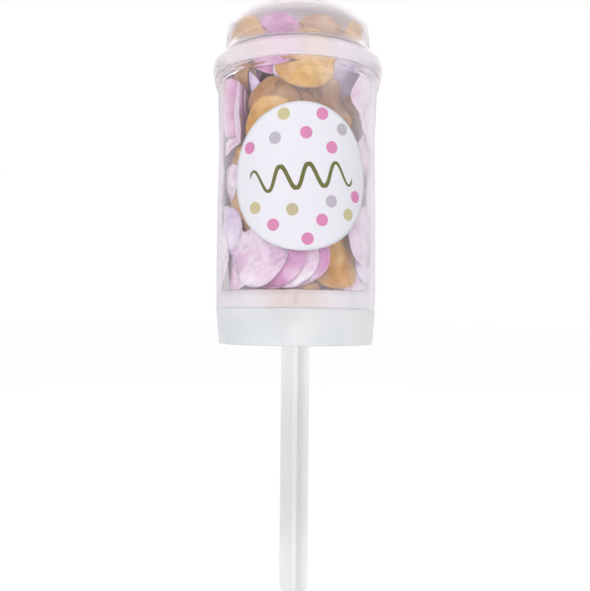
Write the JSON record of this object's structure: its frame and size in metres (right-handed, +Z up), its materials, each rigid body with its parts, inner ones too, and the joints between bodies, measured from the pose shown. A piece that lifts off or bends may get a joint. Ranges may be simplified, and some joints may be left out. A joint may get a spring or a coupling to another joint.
{
  "type": "confetti push pop",
  "caption": "Clear push-up party tube with a domed lid, a plunger on a plus-section stick, a round dotted label and loose round paper confetti.",
  "frame": {"origin": "centre of the barrel's bottom rim, where the board of a display stand or a hand holds it", "axes": "+Z up along the barrel towards the lid, -Y out of the label's side, +X to the right seen from there"},
  "size_m": [0.0498, 0.0498, 0.1706],
  "materials": {
    "clear_tube": "clear, glossy, faintly hazy",
    "clear_lid": "clear and slightly frosted",
    "pale_plastic": "translucent white, satin",
    "stick_plastic": "translucent grey-white, satin",
    "label_paper": "smooth coated sticker paper",
    "paper_light_pink": "thin matte tissue paper",
    "paper_pink": "thin matte tissue paper",
    "paper_gold": "thin paper with a soft gold sheen",
    "paper_tan": "thin matte tissue paper",
    "paper_lilac": "thin matte tissue paper"
  },
  "bodies": {
    "barrel": {"barrel": "clear_tube", "label": "label_paper"},
    "plunger": {"piston": "pale_plastic", "stick": "stick_plastic"},
    "confetti": {"confetti_gold_01": "paper_gold", "confetti_light_pink_02": "paper_light_pink", "confetti_pink_03": "paper_pink", "confetti_light_pink_04": "paper_light_pink", "confetti_pink_05": "paper_pink", "confetti_light_pink_06": "paper_light_pink", "confetti_lilac_07": "paper_lilac", "confetti_gold_08": "paper_gold", "confetti_lilac_09": "paper_lilac", "confetti_tan_10": "paper_tan", "confetti_light_pink_11": "paper_light_pink", "confetti_light_pink_12": "paper_light_pink", "confetti_pink_13": "paper_pink", "confetti_light_pink_14": "paper_light_pink", "confetti_gold_15": "paper_gold", "confetti_gold_16": "paper_gold", "confetti_tan_17": "paper_tan", "confetti_light_pink_18": "paper_light_pink", "confetti_tan_19": "paper_tan", "confetti_light_pink_20": "paper_light_pink", "confetti_tan_21": "paper_tan", "confetti_lilac_22": "paper_lilac", "confetti_tan_23": "paper_tan", "confetti_lilac_24": "paper_lilac", "confetti_light_pink_25": "paper_light_pink", "confetti_gold_26": "paper_gold", "confetti_lilac_27": "paper_lilac", "confetti_pink_28": "paper_pink", "confetti_tan_29": "paper_tan", "confetti_light_pink_30": "paper_light_pink", "confetti_gold_31": "paper_gold", "confetti_lilac_32": "paper_lilac", "confetti_pink_33": "paper_pink", "confetti_tan_34": "paper_tan", "confetti_light_pink_35": "paper_light_pink", "confetti_gold_36": "paper_gold", "confetti_lilac_37": "paper_lilac", "confetti_pink_38": "paper_pink", "confetti_light_pink_39": "paper_light_pink", "confetti_tan_40": "paper_tan", "confetti_pink_41": "paper_pink", "confetti_lilac_42": "paper_lilac", "confetti_gold_43": "paper_gold", "confetti_light_pink_44": "paper_light_pink", "confetti_tan_45": "paper_tan", "confetti_pink_46": "paper_pink", "confetti_lilac_47": "paper_lilac", "confetti_gold_48": "paper_gold", "confetti_light_pink_49": "paper_light_pink", "confetti_tan_50": "paper_tan", "confetti_pink_51": "paper_pink", "confetti_lilac_52": "paper_lilac", "confetti_gold_53": "paper_gold", "confetti_light_pink_54": "paper_light_pink"},
    "lid": {"lid": "clear_lid"}
  },
  "joints": [
    {"name": "plunger_slide", "type": "slide", "parent": "barrel", "child": "plunger", "axis": [0, 0, 1], "range_m": [0, 0.066]},
    {"name": "confetti_throw", "type": "slide", "parent": "plunger", "child": "confetti", "axis": [0, 0, 1], "range_m": [0, 0.08]},
    {"name": "lid_pull", "type": "slide", "parent": "confetti", "child": "lid", "axis": [0, 0, 1], "range_m": [0, 0.04]}
  ]
}
